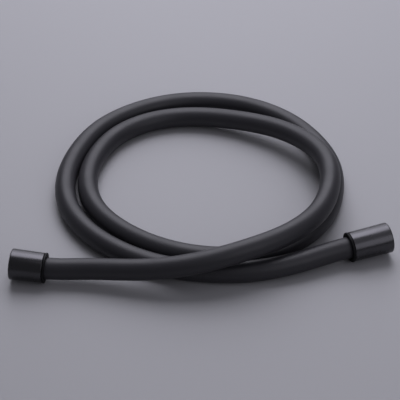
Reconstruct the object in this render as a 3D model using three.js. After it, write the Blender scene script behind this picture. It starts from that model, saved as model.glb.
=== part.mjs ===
// Shower hose, 1.6 m, lying in loose coils as it comes to rest on a flat surface.
// Millimetres, +Z up, z = 0 on the surface. The origin lies under the middle of the coils.
// One hose, and at each end a cone nut that spins on a flanged insert.
import * as THREE from "three";

// The hose
const HOSE_D = 16.5;
const HOSE_BORE = 10;
const HOSE_SIDES = 12;
const HOSE_STEPS = 80;

// Clearance between pieces that touch or fit in one another
const FIT = 0.3;

// Cone nuts: round outside, G 1/2 thread in the open end (its crests are the socket wall)
const THREAD_MINOR_D = 18.63;
const THREAD_MAJOR_D = 20.96;
const NUT_FRONT_WALL = 1.32;
const NUT_REAR_WALL = 1.7;
const NUT_CHAMFER = 0.5;
const SOCKET_LEAD = 0.8;
const RELIEF_LENGTH = 0.6;
const WEB_THICKNESS = 2.2;
const WALL_NUT_LENGTH = 24.9;
const WALL_SOCKET_DEPTH = 11.5;
const HANDSET_NUT_LENGTH = 31.3;
const HANDSET_SOCKET_DEPTH = 13;

// Sealing washers
const WASHER_THICKNESS = 2;
const WASHER_BORE = 11;

// Inserts: flange, neck and barbed tail on one waterway
const FLANGE_THICKNESS = 1.8;
const NECK_D = 12;
const WATERWAY_D = 6.8;
const BARB_HEIGHT = 0.5;
const BARB_PITCH = 3.2;
const WALL_TAIL_LENGTH = 12.4;
const HANDSET_TAIL_LENGTH = 16.3;

// Slip ring between flange and web of the handset nut
const SLIP_RING_THICKNESS = 1;

// Ferrules: thin sleeves with a lip in front of the hose end, which stop short of the bush
const FERRULE_WALL = 0.6;
const FERRULE_END_GAP = 0.5;

// Collar bushes: a spigot pressed in the skirt and a ring behind the nut, a little wider than its rear
const BUSH_CLEARANCE = 0.4;
const BUSH_WALL = 0.75;
const BUSH_SPIGOT_LENGTH = 3.5;
const BUSH_PROUD = 0.2;
const BUSH_RING_LENGTH = 1.6;
const BUSH_EDGE = 0.6;

// Radii that follow from the sizes above
const NUT_FRONT_R = THREAD_MAJOR_D / 2 + NUT_FRONT_WALL;
const FLANGE_R = THREAD_MINOR_D / 2 - FIT;
const NECK_HOLE_R = NECK_D / 2 + FIT;
const BUSH_BORE_R = HOSE_D / 2 + BUSH_CLEARANCE;
const SPIGOT_R = BUSH_BORE_R + BUSH_WALL;
const SKIRT_R = SPIGOT_R + FIT;
const NUT_REAR_R = SKIRT_R + NUT_REAR_WALL;
const BUSH_RING_R = NUT_REAR_R + BUSH_PROUD;

// Where the open faces of the nuts lie, and the heading of each axis towards the hose, degrees from +X
const WALL_FACE = [-145, -105.7];
const WALL_HEADING = -6.8;
const HANDSET_FACE = [141.9, -74.8];
const HANDSET_HEADING = 197.6;

// The stiff hose lifts the open end of each nut: the slope of the axes in degrees, down towards the hose
const NUT_LIFT = 3.5;

// Round pieces
const NUT_SEGMENTS = 40;
const INNER_SEGMENTS = 24;

// Finishes
const CHROME = new THREE.MeshStandardMaterial({ color: 0x4a4c50, roughness: 0.22, metalness: 1 });
const HOSE_SKIN = new THREE.MeshStandardMaterial({ color: 0x0b0b0d, roughness: 0.35, metalness: 0 });
const BUSH_PLASTIC = new THREE.MeshStandardMaterial({ color: 0x0a0a0a, roughness: 0.5, metalness: 0 });
const BRASS = new THREE.MeshStandardMaterial({ color: 0xb08d4a, roughness: 0.35, metalness: 1 });
const STEEL = new THREE.MeshStandardMaterial({ color: 0xb9bcc0, roughness: 0.35, metalness: 1 });
const RUBBER = new THREE.MeshStandardMaterial({ color: 0x151515, roughness: 0.8, metalness: 0 });
const SLIP_PLASTIC = new THREE.MeshStandardMaterial({ color: 0xe6e4dc, roughness: 0.45, metalness: 0 });

// Axial places of the pieces of one end, measured from the nut's open face towards the hose
function endPlaces({ nutLength, socketDepth, slipRing, tailLength }) {
  const webEnd = socketDepth + WEB_THICKNESS;
  const flangeEnd = socketDepth - FIT - (slipRing ? SLIP_RING_THICKNESS + FIT : 0);
  const flangeStart = flangeEnd - FLANGE_THICKNESS;
  const ferruleStart = webEnd + FIT;
  const neckEnd = ferruleStart + FERRULE_WALL;
  const spigotStart = nutLength - BUSH_SPIGOT_LENGTH;
  return {
    nutLength,
    socketDepth,
    webEnd,
    washerStart: flangeStart - FIT - WASHER_THICKNESS,
    flangeStart,
    flangeEnd,
    slipRingStart: flangeEnd + FIT,
    ferruleStart,
    ferruleEnd: spigotStart - FERRULE_END_GAP,
    neckEnd,
    hoseEnd: neckEnd + FIT,
    tailEnd: neckEnd + tailLength,
    spigotStart,
    ringStart: nutLength + FIT,
    ringEnd: nutLength + FIT + BUSH_RING_LENGTH,
  };
}

const WALL_END = endPlaces({
  nutLength: WALL_NUT_LENGTH,
  socketDepth: WALL_SOCKET_DEPTH,
  slipRing: false,
  tailLength: WALL_TAIL_LENGTH,
});
const HANDSET_END = endPlaces({
  nutLength: HANDSET_NUT_LENGTH,
  socketDepth: HANDSET_SOCKET_DEPTH,
  slipRing: true,
  tailLength: HANDSET_TAIL_LENGTH,
});

// A turned piece: its section is a closed outline of [radius, distance from the open face]
function turned(name, section, segments, material) {
  const outline = [...section, section[0]].map(([radius, along]) => new THREE.Vector2(radius, along));
  const mesh = new THREE.Mesh(new THREE.LatheGeometry(outline, segments), material);
  mesh.name = name;
  return mesh;
}

// A plain ring of rectangular section
function ringSection(innerRadius, outerRadius, start, end) {
  return [
    [innerRadius, start],
    [outerRadius, start],
    [outerRadius, end],
    [innerRadius, end],
  ];
}

// Cone nut: threaded socket with a lead-in and a relief, web with the hole for the neck, skirt at the rear
function nut(name, at) {
  const crest = THREAD_MINOR_D / 2;
  const relief = THREAD_MAJOR_D / 2;
  const section = [
    [relief, 0],
    [NUT_FRONT_R - NUT_CHAMFER, 0],
    [NUT_FRONT_R, NUT_CHAMFER],
    [NUT_REAR_R, at.nutLength - NUT_CHAMFER],
    [NUT_REAR_R - NUT_CHAMFER, at.nutLength],
    [SKIRT_R, at.nutLength],
    [SKIRT_R, at.webEnd],
    [NECK_HOLE_R, at.webEnd],
    [NECK_HOLE_R, at.socketDepth],
    [relief, at.socketDepth],
    [relief, at.washerStart - RELIEF_LENGTH],
    [crest, at.washerStart - RELIEF_LENGTH - SOCKET_LEAD],
    [crest, SOCKET_LEAD],
  ];
  return turned(name, section, NUT_SEGMENTS, CHROME);
}

// Sealing washer against the front of the flange
function washer(name, at) {
  const section = ringSection(WASHER_BORE / 2, FLANGE_R, at.washerStart, at.washerStart + WASHER_THICKNESS);
  return turned(name, section, INNER_SEGMENTS, RUBBER);
}

// Insert: flange that the nut pulls on, neck that the nut turns on, barbed tail inside the hose
function insert(name, at) {
  const waterway = WATERWAY_D / 2;
  const neck = NECK_D / 2;
  const barb = HOSE_BORE / 2 - BARB_HEIGHT;
  const root = barb - BARB_HEIGHT;
  const section = [
    [waterway, at.flangeStart],
    [FLANGE_R, at.flangeStart],
    [FLANGE_R, at.flangeEnd],
    [neck, at.flangeEnd],
    [neck, at.neckEnd],
    [root, at.neckEnd],
  ];
  for (let along = at.neckEnd + BARB_PITCH; along < at.tailEnd; along += BARB_PITCH) {
    section.push([barb, along - BARB_PITCH / 2], [root, along]);
  }
  section.push([root, at.tailEnd], [waterway, at.tailEnd]);
  return turned(name, section, INNER_SEGMENTS, BRASS);
}

// Slip ring: a flat plastic ring round the neck, behind the flange
function slipRing(name, at) {
  const end = at.slipRingStart + SLIP_RING_THICKNESS;
  const section = ringSection(NECK_HOLE_R, FLANGE_R, at.slipRingStart, end);
  return turned(name, section, INNER_SEGMENTS, SLIP_PLASTIC);
}

// Ferrule: sleeve over the hose end, with a lip between the hose end and the web
function ferrule(name, at) {
  const inner = HOSE_D / 2 + FIT;
  const outer = inner + FERRULE_WALL;
  const section = [
    [NECK_HOLE_R, at.ferruleStart],
    [outer, at.ferruleStart],
    [outer, at.ferruleEnd],
    [inner, at.ferruleEnd],
    [inner, at.neckEnd],
    [NECK_HOLE_R, at.neckEnd],
  ];
  return turned(name, section, INNER_SEGMENTS, STEEL);
}

// Collar bush: spigot in the mouth of the skirt, ring behind the nut, both clear of the hose
function bush(name, at) {
  const section = [
    [BUSH_BORE_R, at.spigotStart],
    [SPIGOT_R, at.spigotStart],
    [SPIGOT_R, at.ringStart],
    [BUSH_RING_R, at.ringStart],
    [BUSH_RING_R, at.ringEnd - BUSH_EDGE],
    [BUSH_RING_R - BUSH_EDGE, at.ringEnd],
    [BUSH_BORE_R, at.ringEnd],
  ];
  return turned(name, section, NUT_SEGMENTS, BUSH_PLASTIC);
}

// A point on the axis of an end fitting, which rests on the rear edge of its bush
function onAxis(at, face, heading, along) {
  const turn = THREE.MathUtils.degToRad(heading);
  const lift = THREE.MathUtils.degToRad(NUT_LIFT);
  const level = Math.cos(lift) * along;
  const height = BUSH_RING_R * Math.cos(lift) + (at.ringEnd - BUSH_EDGE - along) * Math.sin(lift);
  return [face[0] + Math.cos(turn) * level, face[1] + Math.sin(turn) * level, height];
}

// One end fitting, laid on its side
function endFitting(prefix, at, face, heading, hasSlipRing) {
  const end = new THREE.Group();
  end.add(nut(prefix + "_nut", at), washer(prefix + "_washer", at), insert(prefix + "_insert", at));
  end.add(ferrule(prefix + "_ferrule", at), bush(prefix + "_bush", at));
  if (hasSlipRing) end.add(slipRing(prefix + "_slip_ring", at));
  end.position.set(...onAxis(at, face, heading, 0));
  end.rotation.set(THREE.MathUtils.degToRad(-NUT_LIFT), 0, THREE.MathUtils.degToRad(heading - 90), "ZYX");
  return end;
}

// The hose's route: places chosen by hand, x and y, and the height above lying flat as a share of HOSE_D,
// so that 0 lies on the surface and about 1 rests on another turn.
const ROUTE = [
  [-90, -110.3, 0.23],
  [-48, -116.3, 0.5],
  [-4, -116.5, 0.91],
  [30.5, -106.5, 1.14],
  [62, -88, 1.12],
  [86.5, -62, 1.09],
  [99, -28.5, 1.05],
  [99.5, 8, 0.96],
  [86, 41, 0.71],
  [61, 67, 0.47],
  [29.5, 84, 0.24],
  [-5.5, 93, 0.08],
  [-41, 89, 0.01],
  [-71, 69, 0],
  [-88.5, 37.5, 0],
  [-94, 2, 0],
  [-85, -33.5, 0],
  [-62.5, -61.5, 0],
  [-32.5, -81.5, 0],
  [2, -91.5, 0],
  [38.5, -89, 0],
  [70.5, -73, 0],
  [93.5, -46, 0],
  [104.2, -12, 0],
  [104.6, 24.5, 0],
  [93.2, 58.2, 0],
  [72.5, 87.5, 0],
  [43, 108.5, 0],
  [8, 118, 0],
  [-28, 115.5, 0],
  [-61, 101, 0],
  [-88, 76, 0],
  [-104, 44.5, 0],
  [-111.7, 9, 0],
  [-108.2, -27, 0],
  [-92, -59, 0],
  [-67, -83.5, 0],
  [-35, -101, 0],
  [0.5, -109, 0.005],
  [36.5, -108.5, 0.01],
  [72, -99.6, 0.1],
];

// Straight stretches on the axes of the fittings, before the hose bends
const WALL_STRAIGHT = [21, 28];
const HANDSET_STRAIGHT = [41, 28];

function routePoints() {
  const onWallAxis = (along) => onAxis(WALL_END, WALL_FACE, WALL_HEADING, along);
  const onHandsetAxis = (along) => onAxis(HANDSET_END, HANDSET_FACE, HANDSET_HEADING, along);
  const points = [WALL_END.hoseEnd, ...WALL_STRAIGHT].map(onWallAxis);
  for (const [x, y, rise] of ROUTE) points.push([x, y, HOSE_D / 2 + rise * HOSE_D]);
  points.push(...[...HANDSET_STRAIGHT, HANDSET_END.hoseEnd].map(onHandsetAxis));
  return points.map((point) => new THREE.Vector3(...point));
}

// The hose: a ring section carried along the route
function hose() {
  const section = new THREE.Shape();
  const bore = new THREE.Path();
  section.absarc(0, 0, HOSE_D / 2, 0, 2 * Math.PI);
  bore.absarc(0, 0, HOSE_BORE / 2, 0, 2 * Math.PI, true);
  section.holes.push(bore);
  const geometry = new THREE.ExtrudeGeometry(section, {
    steps: HOSE_STEPS,
    curveSegments: HOSE_SIDES / 2,
    extrudePath: new THREE.CatmullRomCurve3(routePoints(), false, "centripetal"),
  });
  const mesh = new THREE.Mesh(geometry, HOSE_SKIN);
  mesh.name = "hose";
  return mesh;
}

const showerHose = new THREE.Group();
showerHose.add(hose());
showerHose.add(endFitting("wall", WALL_END, WALL_FACE, WALL_HEADING, false));
showerHose.add(endFitting("handset", HANDSET_END, HANDSET_FACE, HANDSET_HEADING, true));

export default showerHose;
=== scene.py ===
# Shower hose of 1.6 m in loose coils, with a gunmetal cone nut at each end.
# Sizes are in metres, and those of the turned pieces at the ends in millimetres.
import math
import bpy
import numpy as np
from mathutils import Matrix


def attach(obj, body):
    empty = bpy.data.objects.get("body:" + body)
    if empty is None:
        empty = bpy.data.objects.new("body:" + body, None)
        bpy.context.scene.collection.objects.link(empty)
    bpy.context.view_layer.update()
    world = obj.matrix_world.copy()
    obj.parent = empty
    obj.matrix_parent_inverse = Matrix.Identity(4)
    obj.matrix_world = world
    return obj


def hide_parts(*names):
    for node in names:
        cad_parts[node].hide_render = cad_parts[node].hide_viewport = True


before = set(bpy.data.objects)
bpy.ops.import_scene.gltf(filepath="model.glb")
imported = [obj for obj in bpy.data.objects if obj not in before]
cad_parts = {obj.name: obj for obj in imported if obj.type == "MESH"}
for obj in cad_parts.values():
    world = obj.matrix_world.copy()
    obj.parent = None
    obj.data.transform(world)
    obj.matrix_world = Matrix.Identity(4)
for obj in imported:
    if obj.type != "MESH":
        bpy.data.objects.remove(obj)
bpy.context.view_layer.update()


# View and room
# The camera looks down on the coils from the side where both nuts lie. The hose lies on a plain pale floor
# under a large soft light behind and above it, which three overlapping lamps make brighter upwards. Two weak
# cards fill in from the front right, and the room around is dim.
CAMERA_ELEVATION = 38
CAMERA_DISTANCE = 1.168
CAMERA_TARGET = (-0.003, -0.011, 0)
FOCAL_LENGTH_PX = 1445
PICTURE_PX = 400
SENSOR_MM = 36
FLOOR_SIZE = 8
FLOOR_COLOUR = (0.38, 0.38, 0.39)
FLOOR_ROUGHNESS = 0.6
ROOM_COLOUR = (0.95, 0.95, 1.05)
ROOM_STRENGTH = 0.13
LAMP_COLOUR = (0.95, 0.94, 1.05)


def direction(azimuth, elevation):
    """The unit vector at this azimuth, from +Y towards +X, and this height over the horizon, in degrees."""
    turn = math.radians(azimuth)
    rise = math.radians(elevation)
    return np.array([math.sin(turn) * math.cos(rise), math.cos(turn) * math.cos(rise), math.sin(rise)])


def add_camera():
    data = bpy.data.cameras.new("camera")
    data.sensor_width = SENSOR_MM
    data.lens = FOCAL_LENGTH_PX / PICTURE_PX * SENSOR_MM
    camera = bpy.data.objects.new("camera", data)
    camera.location = np.array(CAMERA_TARGET) + CAMERA_DISTANCE * direction(180, CAMERA_ELEVATION)
    camera.rotation_euler = (math.radians(90 - CAMERA_ELEVATION), 0, 0)
    bpy.context.scene.collection.objects.link(camera)
    bpy.context.scene.camera = camera


def add_soft_lamp(name, azimuth, elevation, distance, width, height, radiance):
    """A flat lamp turned to the origin. Its power is radiance times pi times its area."""
    data = bpy.data.lights.new(name, "AREA")
    data.shape = "RECTANGLE"
    data.color = LAMP_COLOUR
    data.size = width
    data.size_y = height
    data.energy = radiance * math.pi * width * height
    lamp = bpy.data.objects.new(name, data)
    lamp.location = distance * direction(azimuth, elevation)
    lamp.rotation_euler = (math.radians(90 - elevation), 0, math.radians(180 - azimuth))
    bpy.context.scene.collection.objects.link(lamp)


def add_room():
    world = bpy.data.worlds.new("room")
    world.use_nodes = True
    background = world.node_tree.nodes["Background"]
    background.inputs["Color"].default_value = (*ROOM_COLOUR, 1)
    background.inputs["Strength"].default_value = ROOM_STRENGTH
    bpy.context.scene.world = world


def add_floor():
    half = FLOOR_SIZE / 2
    corners = [(-half, -half, 0), (half, -half, 0), (half, half, 0), (-half, half, 0)]
    mesh = bpy.data.meshes.new("floor")
    mesh.from_pydata(corners, [], [(0, 1, 2, 3)])
    material = bpy.data.materials.new("floor")
    material.use_nodes = True
    shader = material.node_tree.nodes["Principled BSDF"]
    shader.inputs["Base Color"].default_value = (*FLOOR_COLOUR, 1)
    shader.inputs["Roughness"].default_value = FLOOR_ROUGHNESS
    mesh.materials.append(material)
    floor = bpy.data.objects.new("floor", mesh)
    bpy.context.scene.collection.objects.link(floor)


bpy.context.scene.view_settings.view_transform = "Standard"
add_camera()
add_room()
add_floor()
add_soft_lamp("overhead_lamp", azimuth=0, elevation=43, distance=1.25, width=1.3, height=1.75, radiance=1.2)
add_soft_lamp("upper_lamp", azimuth=0, elevation=50, distance=1.25, width=1.0, height=1.25, radiance=0.7)
add_soft_lamp("core_lamp", azimuth=0, elevation=61, distance=1.25, width=0.85, height=0.95, radiance=1.6)
add_soft_lamp("front_card", azimuth=136, elevation=30, distance=1.2, width=0.8, height=0.7, radiance=0.9)
add_soft_lamp("ceiling_card", azimuth=120, elevation=66, distance=1.3, width=1.1, height=1.1, radiance=0.3)


# Hose
# One extruded tube of black plastic, smooth and semi-gloss, with a plain bore. It runs from the wall fitting
# over the coils, twice round and back under itself to the handset fitting.
HOSE_DIAMETER = 0.0165
HOSE_BORE = 0.010
# The middle of each nut's open face, and where its axis heads for the hose and slopes down, in degrees
WALL_FACE = (-0.145, -0.1057, 0.01318)
WALL_HEADING = -6.8
HANDSET_FACE = (0.1419, -0.0748, 0.01357)
HANDSET_HEADING = 197.6
NUT_LIFT = 3.5
# Places along those axes from the open face: the hose's ends, and its straight stretches before it bends
WALL_HOSE_END = 0.0149
HANDSET_HOSE_END = 0.0164
WALL_STRAIGHT = (0.021, 0.028)
HANDSET_STRAIGHT = (0.041, 0.028)
HOSE_AROUND = 56
HOSE_STEP = 0.0025
BORE_STEP = 0.008
# Each point is x, y and the height above lying flat, as a share of the hose's diameter
ROUTE = (
    (-0.090, -0.1103, 0.23), (-0.048, -0.1163, 0.5), (-0.004, -0.1165, 0.91), (0.0305, -0.1065, 1.14),
    (0.062, -0.088, 1.12), (0.0865, -0.062, 1.09), (0.099, -0.0285, 1.05), (0.0995, 0.008, 0.96),
    (0.086, 0.041, 0.71), (0.061, 0.067, 0.47), (0.0295, 0.084, 0.24), (-0.0055, 0.093, 0.08),
    (-0.041, 0.089, 0.01), (-0.071, 0.069, 0), (-0.0885, 0.0375, 0), (-0.094, 0.002, 0),
    (-0.085, -0.0335, 0), (-0.0625, -0.0615, 0), (-0.0325, -0.0815, 0), (0.002, -0.0915, 0),
    (0.0385, -0.089, 0), (0.0705, -0.073, 0), (0.0935, -0.046, 0), (0.1042, -0.012, 0),
    (0.1046, 0.0245, 0), (0.0932, 0.0582, 0), (0.0725, 0.0875, 0), (0.043, 0.1085, 0),
    (0.008, 0.118, 0), (-0.028, 0.1155, 0), (-0.061, 0.101, 0), (-0.088, 0.076, 0),
    (-0.104, 0.0445, 0), (-0.1117, 0.009, 0), (-0.1082, -0.027, 0), (-0.092, -0.059, 0),
    (-0.067, -0.0835, 0), (-0.035, -0.101, 0), (0.0005, -0.109, 0.005), (0.0365, -0.1085, 0.01),
    (0.072, -0.0996, 0.1),
)


def fitting_axes(heading):
    """A fitting's axis towards the hose, the level direction at its left, and its up, all of unit length."""
    turn = math.radians(heading)
    lift = math.radians(NUT_LIFT)
    level = np.array([math.cos(turn), math.sin(turn), 0])
    above = np.array([0, 0, 1])
    axis = level * math.cos(lift) - above * math.sin(lift)
    up = above * math.cos(lift) + level * math.sin(lift)
    return axis, np.cross(above, level), up


def on_axis(face, heading, along):
    """The point on a fitting's axis, this far from the middle of its open face towards the hose."""
    return np.array(face) + fitting_axes(heading)[0] * along


def route_points():
    """The places that the hose's middle line passes through, from the wall end to the handset end."""
    wall_places = (WALL_HOSE_END, *WALL_STRAIGHT)
    handset_places = (*HANDSET_STRAIGHT, HANDSET_HOSE_END)
    points = [on_axis(WALL_FACE, WALL_HEADING, along) for along in wall_places]
    points += [(x, y, HOSE_DIAMETER * (0.5 + rise)) for x, y, rise in ROUTE]
    points += [on_axis(HANDSET_FACE, HANDSET_HEADING, along) for along in handset_places]
    return np.array(points)


def smooth_curve(points, step):
    """Natural cubic spline through the points, over the length of their chords, sampled about every step.

    The second derivatives m solve h0 m0 + 2 (h0 + h1) m1 + h1 m2 = 6 (slope1 - slope0), with 0 at both ends.
    """
    chord = np.linalg.norm(np.diff(points, axis=0), axis=1)
    knots = np.concatenate([[0], np.cumsum(chord)])
    slope = np.diff(points, axis=0) / chord[:, None]
    count = len(points)
    matrix = np.eye(count)
    inner = np.arange(1, count - 1)
    matrix[inner, inner - 1] = chord[:-1]
    matrix[inner, inner] = 2 * (chord[:-1] + chord[1:])
    matrix[inner, inner + 1] = chord[1:]
    right = np.zeros_like(points)
    right[1:-1] = 6 * np.diff(slope, axis=0)
    bend = np.linalg.solve(matrix, right)
    at = np.linspace(0, knots[-1], int(round(knots[-1] / step)) + 1)
    span = np.clip(np.searchsorted(knots, at, side="right") - 1, 0, count - 2)
    h = chord[span][:, None]
    a = (knots[span + 1] - at)[:, None] / h
    b = 1 - a
    sag = ((a**3 - a) * bend[span] + (b**3 - b) * bend[span + 1]) * h**2 / 6
    return a * points[span] + b * points[span + 1] + sag


def closed_grid_mesh(name, grid, straight):
    """A closed surface from a grid of points whose rows and columns both join their last to their first.

    The attribute "straight" holds where each point lies when the piece stands straight, in metres.
    """
    rows, columns = grid.shape[:2]
    row, column = np.meshgrid(np.arange(rows), np.arange(columns), indexing="ij")
    next_row = (row + 1) % rows
    next_column = (column + 1) % columns
    corners = [(row, column), (row, next_column), (next_row, next_column), (next_row, column)]
    faces = np.stack([r * columns + c for r, c in corners], axis=-1).reshape(-1, 4)
    mesh = bpy.data.meshes.new(name)
    mesh.from_pydata(grid.reshape(-1, 3).tolist(), [], faces.tolist())
    place = mesh.attributes.new("straight", "FLOAT_VECTOR", "POINT")
    place.data.foreach_set("vector", straight.reshape(-1))
    mesh.shade_smooth()
    mesh.update()
    obj = bpy.data.objects.new(name, mesh)
    bpy.context.scene.collection.objects.link(obj)
    return obj


def rings_along(path, radius, around):
    """Rings of this radius square to the path, and the same rings on a straight path.

    A point is path + radius (cos angle side + sin angle up), where side lies level at the path's left.
    """
    tangent = np.gradient(path, axis=0)
    tangent /= np.linalg.norm(tangent, axis=1)[:, None]
    side = np.cross([0, 0, 1], tangent)
    side /= np.linalg.norm(side, axis=1)[:, None]
    up = np.cross(tangent, side)
    angle = np.linspace(0, 2 * np.pi, around, endpoint=False)[None, :, None]
    rings = path[:, None] + radius * (np.cos(angle) * side[:, None] + np.sin(angle) * up[:, None])
    along = np.concatenate([[0], np.cumsum(np.linalg.norm(np.diff(path, axis=0), axis=1))])
    straight = along[:, None, None] * np.array([0, 0, 1])
    straight = straight + radius * np.concatenate([np.cos(angle), np.sin(angle), 0 * angle], axis=2)
    return rings, straight


def new_group(name, inputs, outputs):
    """An empty shader group. Inputs are floats with their defaults, and outputs are floats."""
    group = bpy.data.node_groups.new(name, "ShaderNodeTree")
    for title, value in inputs.items():
        socket = group.interface.new_socket(title, in_out="INPUT", socket_type="NodeSocketFloat")
        socket.default_value = value
    for title in outputs:
        group.interface.new_socket(title, in_out="OUTPUT", socket_type="NodeSocketFloat")
    return group, group.nodes.new("NodeGroupInput"), group.nodes.new("NodeGroupOutput")


STREAK_DETAIL = 3


def make_streaks_group():
    """Noise on the straightened piece, drawn out along its axis or round it. Height runs about 0 to 1.

    Across and Along are the noise's detail per metre across the axis and along it.
    """
    group, given, result = new_group("streaks", {"Across": 100.0, "Along": 100.0}, ["Height"])
    nodes = group.nodes
    links = group.links
    place = nodes.new("ShaderNodeAttribute")
    place.attribute_name = "straight"
    scale = nodes.new("ShaderNodeCombineXYZ")
    stretched = nodes.new("ShaderNodeVectorMath")
    stretched.operation = "MULTIPLY"
    noise = nodes.new("ShaderNodeTexNoise")
    noise.inputs["Scale"].default_value = 1
    noise.inputs["Detail"].default_value = STREAK_DETAIL
    links.new(given.outputs["Across"], scale.inputs["X"])
    links.new(given.outputs["Across"], scale.inputs["Y"])
    links.new(given.outputs["Along"], scale.inputs["Z"])
    links.new(place.outputs["Vector"], stretched.inputs[0])
    links.new(scale.outputs["Vector"], stretched.inputs[1])
    links.new(stretched.outputs["Vector"], noise.inputs["Vector"])
    links.new(noise.outputs["Fac"], result.inputs["Height"])
    return group


PATCHES_PER_METRE = 60
PATCH_DETAIL = 4
NOISE_RANGE = (0.3, 0.7)


def make_smudges_group():
    """Roughness with patches: Roughness plus Spread times a noise stretched to run from -1 to 1."""
    group, given, result = new_group("smudges", {"Roughness": 0.3, "Spread": 0.05}, ["Roughness"])
    nodes = group.nodes
    links = group.links
    place = nodes.new("ShaderNodeAttribute")
    place.attribute_name = "straight"
    noise = nodes.new("ShaderNodeTexNoise")
    noise.inputs["Scale"].default_value = PATCHES_PER_METRE
    noise.inputs["Detail"].default_value = PATCH_DETAIL
    centred = nodes.new("ShaderNodeMapRange")
    centred.inputs["From Min"].default_value = NOISE_RANGE[0]
    centred.inputs["From Max"].default_value = NOISE_RANGE[1]
    centred.inputs["To Min"].default_value = -1
    centred.inputs["To Max"].default_value = 1
    patched = nodes.new("ShaderNodeMath")
    patched.operation = "MULTIPLY_ADD"
    links.new(place.outputs["Vector"], noise.inputs["Vector"])
    links.new(noise.outputs["Fac"], centred.inputs["Value"])
    links.new(centred.outputs["Result"], patched.inputs[0])
    links.new(given.outputs["Spread"], patched.inputs[1])
    links.new(given.outputs["Roughness"], patched.inputs[2])
    links.new(patched.outputs["Value"], result.inputs["Roughness"])
    return group


streaks = make_streaks_group()
smudges = make_smudges_group()


def finish_material(name, colour, roughness, spread, bumps, metallic=0, ior=1.5):
    """A surface of this colour with smudged gloss and layers of streaks as bumps.

    Each bump is (detail across, detail along, height in metres).
    """
    material = bpy.data.materials.new(name)
    material.use_nodes = True
    nodes = material.node_tree.nodes
    links = material.node_tree.links
    shader = nodes["Principled BSDF"]
    shader.inputs["Base Color"].default_value = (*colour, 1)
    shader.inputs["Metallic"].default_value = metallic
    shader.inputs["IOR"].default_value = ior
    gloss = nodes.new("ShaderNodeGroup")
    gloss.node_tree = smudges
    gloss.inputs["Roughness"].default_value = roughness
    gloss.inputs["Spread"].default_value = spread
    links.new(gloss.outputs["Roughness"], shader.inputs["Roughness"])
    normal = None
    for across, along, height in bumps:
        lines = nodes.new("ShaderNodeGroup")
        lines.node_tree = streaks
        lines.inputs["Across"].default_value = across
        lines.inputs["Along"].default_value = along
        bump = nodes.new("ShaderNodeBump")
        bump.inputs["Strength"].default_value = 1
        bump.inputs["Distance"].default_value = height
        links.new(lines.outputs["Height"], bump.inputs["Height"])
        if normal:
            links.new(normal, bump.inputs["Normal"])
        normal = bump.outputs["Normal"]
    if normal:
        links.new(normal, shader.inputs["Normal"])
    return material


hose_path = smooth_curve(route_points(), HOSE_STEP)
outer_rings, outer_straight = rings_along(hose_path, HOSE_DIAMETER / 2, HOSE_AROUND)
bore_rings, bore_straight = rings_along(smooth_curve(route_points(), BORE_STEP), HOSE_BORE / 2, HOSE_AROUND)
hose = closed_grid_mesh(
    "black_hose",
    np.concatenate([outer_rings, bore_rings[::-1]]),
    np.concatenate([outer_straight, bore_straight[::-1]]),
)
hose.data.materials.append(finish_material(
    "black_hose_plastic",
    colour=(0.0255, 0.025, 0.029),
    roughness=0.45,
    spread=0.035,
    bumps=[(1900, 25, 0.000012), (55, 30, 0.00022)],
    ior=1.43,
))
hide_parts("hose")
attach(hose, "hose_body")


# Cone nuts
# Turned brass with a polished gunmetal plating: a long cone with a web inside, a skirt over the hose's
# ferrule at the rear and a G 1/2 thread, cut as one helix, in the open end. They spin on the inserts.
MM = 0.001
FIT = 0.3
NUT_FRONT_RADIUS = 11.8
NUT_REAR_RADIUS = 11.4
NUT_FRONT_ROUNDING = 1.1
NUT_REAR_ROUNDING = 0.5
SKIRT_RADIUS = 9.7
WEB_THICKNESS = 2.2
NECK_HOLE_RADIUS = 6.3
THREAD_CREST_RADIUS = 9.315
THREAD_ROOT_RADIUS = 10.48
THREAD_PITCH = 1.814
THREAD_START = 0.3
THREAD_FADE = 0.9
THREAD_ROW = 0.139
THREAD_WALL_TOLERANCE = 0.02
SOCKET_LEAD = 0.8
SOCKET_RELIEF = 0.6
WASHER_THICKNESS = 2
FLANGE_THICKNESS = 1.8
SLIP_RING_THICKNESS = 1
FERRULE_WALL = 0.6
FERRULE_END_GAP = 0.5
SPIGOT_LENGTH = 3.5
COLLAR_LENGTH = 1.6
NUT_AROUND = 144
ROUNDING_STEPS = 7


def end_places(face, heading, hose_end, nut, tail, slip_ring):
    """Where the pieces of one end lie along its axis, in mm from the nut's open face towards the hose."""
    neck_end = hose_end / MM - FIT
    socket = neck_end - FERRULE_WALL - FIT - WEB_THICKNESS
    flange = socket - FIT - FLANGE_THICKNESS
    if slip_ring:
        flange -= SLIP_RING_THICKNESS + FIT
    return {
        "face": face,
        "heading": heading,
        "nut": nut,
        "socket": socket,
        "washer": flange - FIT - WASHER_THICKNESS,
        "flange": flange,
        "neck_end": neck_end,
        "ferrule_end": nut - SPIGOT_LENGTH - FERRULE_END_GAP,
        "tail_end": neck_end + tail,
        "collar": nut + FIT,
        "collar_end": nut + FIT + COLLAR_LENGTH,
    }


WALL_END = end_places(WALL_FACE, WALL_HEADING, WALL_HOSE_END, nut=24.9, tail=12.4, slip_ring=False)
HANDSET_END = end_places(HANDSET_FACE, HANDSET_HEADING, HANDSET_HOSE_END, nut=31.3, tail=16.3, slip_ring=True)


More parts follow.
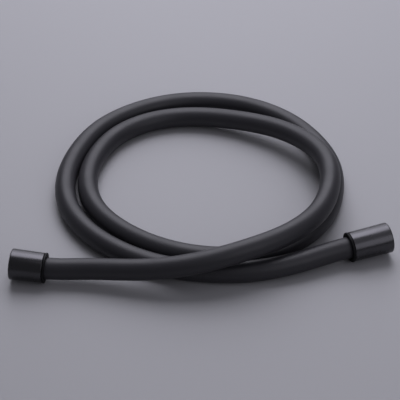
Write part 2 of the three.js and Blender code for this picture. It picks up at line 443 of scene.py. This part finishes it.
def rounded(corners):
    """A closed outline of (radius, along) through corners given as (radius, along, rounding).

    At each corner the outline leaves its straight sides this far away and turns on a quadratic curve.
    """
    corners = np.array(corners)
    place = corners[:, :2]
    rounding = corners[:, 2:]
    before = np.roll(place, 1, axis=0) - place
    after = np.roll(place, -1, axis=0) - place
    start = place + before / np.linalg.norm(before, axis=1)[:, None] * rounding
    end = place + after / np.linalg.norm(after, axis=1)[:, None] * rounding
    w = np.linspace(0, 1, ROUNDING_STEPS)[None, :, None]
    curve = (1 - w) ** 2 * start[:, None] + 2 * w * (1 - w) * place[:, None] + w**2 * end[:, None]
    return curve.reshape(-1, 2)


def refined(outline, step, chosen):
    """The outline with each chosen side cut into even stretches no longer than step."""
    following = np.roll(outline, -1, axis=0)
    length = np.linalg.norm(following - outline, axis=1)
    parts = np.where(chosen, np.ceil(length / step), 1).astype(int)
    side = np.repeat(np.arange(len(outline)), parts)
    first = np.repeat(np.cumsum(parts) - parts, parts)
    share = ((np.arange(parts.sum()) - first) / parts[side])[:, None]
    return outline[side] + (following - outline)[side] * share


def turned(name, outline, end, around, widen=None):
    """A turned piece on an end fitting's axis: at each angle, radius (cos angle side + sin angle up) from it.

    The outline is in mm, and so is what widen(radius, along, angle) adds to the radius.
    """
    axis, side, up = fitting_axes(end["heading"])
    angle = np.linspace(0, 2 * np.pi, around, endpoint=False)[None, :, None]
    radius = outline[:, None, :1]
    along = outline[:, None, 1:]
    if widen:
        radius = radius + widen(radius, along, angle)
    out = radius * (np.cos(angle) * side + np.sin(angle) * up)
    straight = np.concatenate([radius * np.cos(angle), radius * np.sin(angle), along + 0 * angle], axis=2)
    return closed_grid_mesh(name, np.array(end["face"]) + (along * axis + out) * MM, straight * MM)


def add_nut(prefix, end, material):
    web_end = end["socket"] + WEB_THICKNESS
    thread_end = end["washer"] - SOCKET_RELIEF
    depth = THREAD_ROOT_RADIUS - THREAD_CREST_RADIUS

    def on_thread_wall(radius):
        return np.abs(radius - THREAD_CREST_RADIUS) < THREAD_WALL_TOLERANCE

    def thread(radius, along, angle):
        """A round-crested helix: depth times half of 1 - cos(phase), faded in and out at its ends."""
        phase = 2 * np.pi * along / THREAD_PITCH - angle
        fade_in = np.clip((along - THREAD_START) / THREAD_FADE, 0, 1)
        fade_out = np.clip((thread_end - along) / THREAD_FADE, 0, 1)
        return depth * (1 - np.cos(phase)) / 2 * fade_in * fade_out * on_thread_wall(radius)

    outline = rounded([
        (THREAD_ROOT_RADIUS, 0, 0.15),
        (NUT_FRONT_RADIUS, 0, NUT_FRONT_ROUNDING),
        (NUT_REAR_RADIUS, end["nut"], NUT_REAR_ROUNDING),
        (SKIRT_RADIUS, end["nut"], 0.25),
        (SKIRT_RADIUS, web_end, 0.3),
        (NECK_HOLE_RADIUS, web_end, 0.15),
        (NECK_HOLE_RADIUS, end["socket"], 0.15),
        (THREAD_ROOT_RADIUS, end["socket"], 0.3),
        (THREAD_ROOT_RADIUS, thread_end, 0.1),
        (THREAD_CREST_RADIUS, thread_end - SOCKET_LEAD, 0.1),
        (THREAD_CREST_RADIUS, SOCKET_LEAD, 0.1),
    ])
    wall = on_thread_wall(outline[:, 0])
    outline = refined(outline, THREAD_ROW, wall & np.roll(wall, -1))
    nut = turned(prefix + "_cone_nut", outline, end, NUT_AROUND, thread)
    nut.data.materials.append(material)
    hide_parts(prefix + "_nut")
    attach(nut, prefix + "_nut_body")
    return nut


gunmetal = finish_material(
    "polished_gunmetal",
    colour=(0.076, 0.075, 0.079),
    roughness=0.27,
    spread=0.03,
    bumps=[(60, 9000, 0.0000012)],
    metallic=1,
)
add_nut("wall", WALL_END, gunmetal)
handset_cone_nut = add_nut("handset", HANDSET_END, gunmetal)


# Collar bushes
# Moulded black plastic rings: a spigot pressed into the mouth of the nut's skirt and a rounded ring behind
# it, which keeps the skirt off the hose. Their near-black colour is partly painted shade of that recess.
COLLAR_BORE_RADIUS = 8.65
SPIGOT_RADIUS = 9.4
COLLAR_RADIUS = 11.6


def add_bush(prefix, end, material):
    spigot = end["nut"] - SPIGOT_LENGTH
    outline = rounded([
        (COLLAR_BORE_RADIUS, spigot, 0.2),
        (SPIGOT_RADIUS, spigot, 0.2),
        (SPIGOT_RADIUS, end["collar"], 0.1),
        (COLLAR_RADIUS, end["collar"], 0.5),
        (COLLAR_RADIUS, end["collar_end"], 0.6),
        (COLLAR_BORE_RADIUS, end["collar_end"], 0.3),
    ])
    bush = turned(prefix + "_collar", outline, end, NUT_AROUND)
    bush.data.materials.append(material)
    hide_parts(prefix + "_bush")
    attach(bush, prefix + "_nut_body")


shade_darkened_moulding = finish_material(
    "shade_darkened_moulding",
    # Near-black: the plastic's own black, darkened further as painted shade of the recess between nut and
    # hose
    colour=(0.004, 0.004, 0.0045),
    roughness=0.55,
    spread=0.04,
    bumps=[(1600, 1600, 0.00001)],
    ior=1.28,
)
add_bush("wall", WALL_END, shade_darkened_moulding)
add_bush("handset", HANDSET_END, shade_darkened_moulding)


# Inserts
# Turned brass: a flange that the nut pulls against the washer, a neck that the nut spins on, and a barbed
# tail expanded into the hose, all on one waterway.
WATERWAY_RADIUS = 3.4
FLANGE_RADIUS = 9.0
NECK_RADIUS = 6.0
BARB_RADIUS = 4.5
BARB_ROOT_RADIUS = 4.0
BARB_PITCH = 3.2
INSERT_AROUND = 96


def add_insert(prefix, end, material):
    flange_end = end["flange"] + FLANGE_THICKNESS
    corners = [
        (WATERWAY_RADIUS, end["flange"], 0.3),
        (FLANGE_RADIUS, end["flange"], 0.2),
        (FLANGE_RADIUS, flange_end, 0.2),
        (NECK_RADIUS, flange_end, 0.1),
        (NECK_RADIUS, end["neck_end"], 0.2),
        (BARB_ROOT_RADIUS, end["neck_end"], 0.1),
    ]
    for barb_end in np.arange(end["neck_end"] + BARB_PITCH, end["tail_end"], BARB_PITCH):
        corners += [(BARB_RADIUS, barb_end - BARB_PITCH / 2, 0.1), (BARB_ROOT_RADIUS, barb_end, 0.1)]
    corners += [(BARB_ROOT_RADIUS, end["tail_end"], 0.1), (WATERWAY_RADIUS, end["tail_end"], 0.1)]
    piece = turned(prefix + "_barbed_insert", rounded(corners), end, INSERT_AROUND)
    piece.data.materials.append(material)
    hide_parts(prefix + "_insert")
    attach(piece, "hose_body")


turned_brass = finish_material(
    "turned_brass",
    colour=(0.58, 0.38, 0.14),
    roughness=0.28,
    spread=0.06,
    bumps=[(4200, 4200, 0.000002), (50, 6000, 0.000004)],
    metallic=1,
)
add_insert("wall", WALL_END, turned_brass)
add_insert("handset", HANDSET_END, turned_brass)


# Ferrules, washers and slip ring
# The ferrules are drawn steel sleeves, pressed over the hose ends. The washers are black rubber and drop into
# the sockets last. The handset's slip ring is natural white plastic, between the flange and the nut's web.
FERRULE_INNER_RADIUS = 8.55
FERRULE_OUTER_RADIUS = 9.15
WASHER_BORE_RADIUS = 5.5


def add_ring(name, node, corners, end, material, body):
    ring = turned(name, rounded(corners), end, INSERT_AROUND)
    ring.data.materials.append(material)
    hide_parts(node)
    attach(ring, body)


drawn_steel = finish_material(
    "drawn_steel",
    colour=(0.55, 0.56, 0.57),
    roughness=0.3,
    spread=0.05,
    bumps=[(3000, 120, 0.000003)],
    metallic=1,
)
matt_rubber = finish_material(
    "matt_rubber",
    colour=(0.022, 0.022, 0.022),
    roughness=0.7,
    spread=0.06,
    bumps=[(2200, 2200, 0.00002)],
)
natural_plastic = finish_material(
    "natural_plastic",
    colour=(0.74, 0.72, 0.66),
    roughness=0.42,
    spread=0.04,
    bumps=[(900, 900, 0.00001)],
)
for prefix, end in (("wall", WALL_END), ("handset", HANDSET_END)):
    lip = end["neck_end"] - FERRULE_WALL
    sleeve = [
        (NECK_HOLE_RADIUS, lip, 0.1),
        (FERRULE_OUTER_RADIUS, lip, 0.35),
        (FERRULE_OUTER_RADIUS, end["ferrule_end"], 0.2),
        (FERRULE_INNER_RADIUS, end["ferrule_end"], 0.2),
        (FERRULE_INNER_RADIUS, end["neck_end"], 0.1),
        (NECK_HOLE_RADIUS, end["neck_end"], 0.1),
    ]
    add_ring(prefix + "_sleeve", prefix + "_ferrule", sleeve, end, drawn_steel, "hose_body")
    washer_end = end["washer"] + WASHER_THICKNESS
    seal = [
        (WASHER_BORE_RADIUS, end["washer"], 0.25),
        (FLANGE_RADIUS, end["washer"], 0.25),
        (FLANGE_RADIUS, washer_end, 0.25),
        (WASHER_BORE_RADIUS, washer_end, 0.25),
    ]
    add_ring(prefix + "_seal", prefix + "_washer", seal, end, matt_rubber, prefix + "_nut_body")

slide = HANDSET_END["flange"] + FLANGE_THICKNESS + FIT
slide_end = slide + SLIP_RING_THICKNESS
slip = [
    (NECK_HOLE_RADIUS, slide, 0.2),
    (FLANGE_RADIUS, slide, 0.2),
    (FLANGE_RADIUS, slide_end, 0.2),
    (NECK_HOLE_RADIUS, slide_end, 0.2),
]
add_ring(
    "handset_slide", "handset_slip_ring", slip, HANDSET_END, natural_plastic, "handset_nut_body"
)
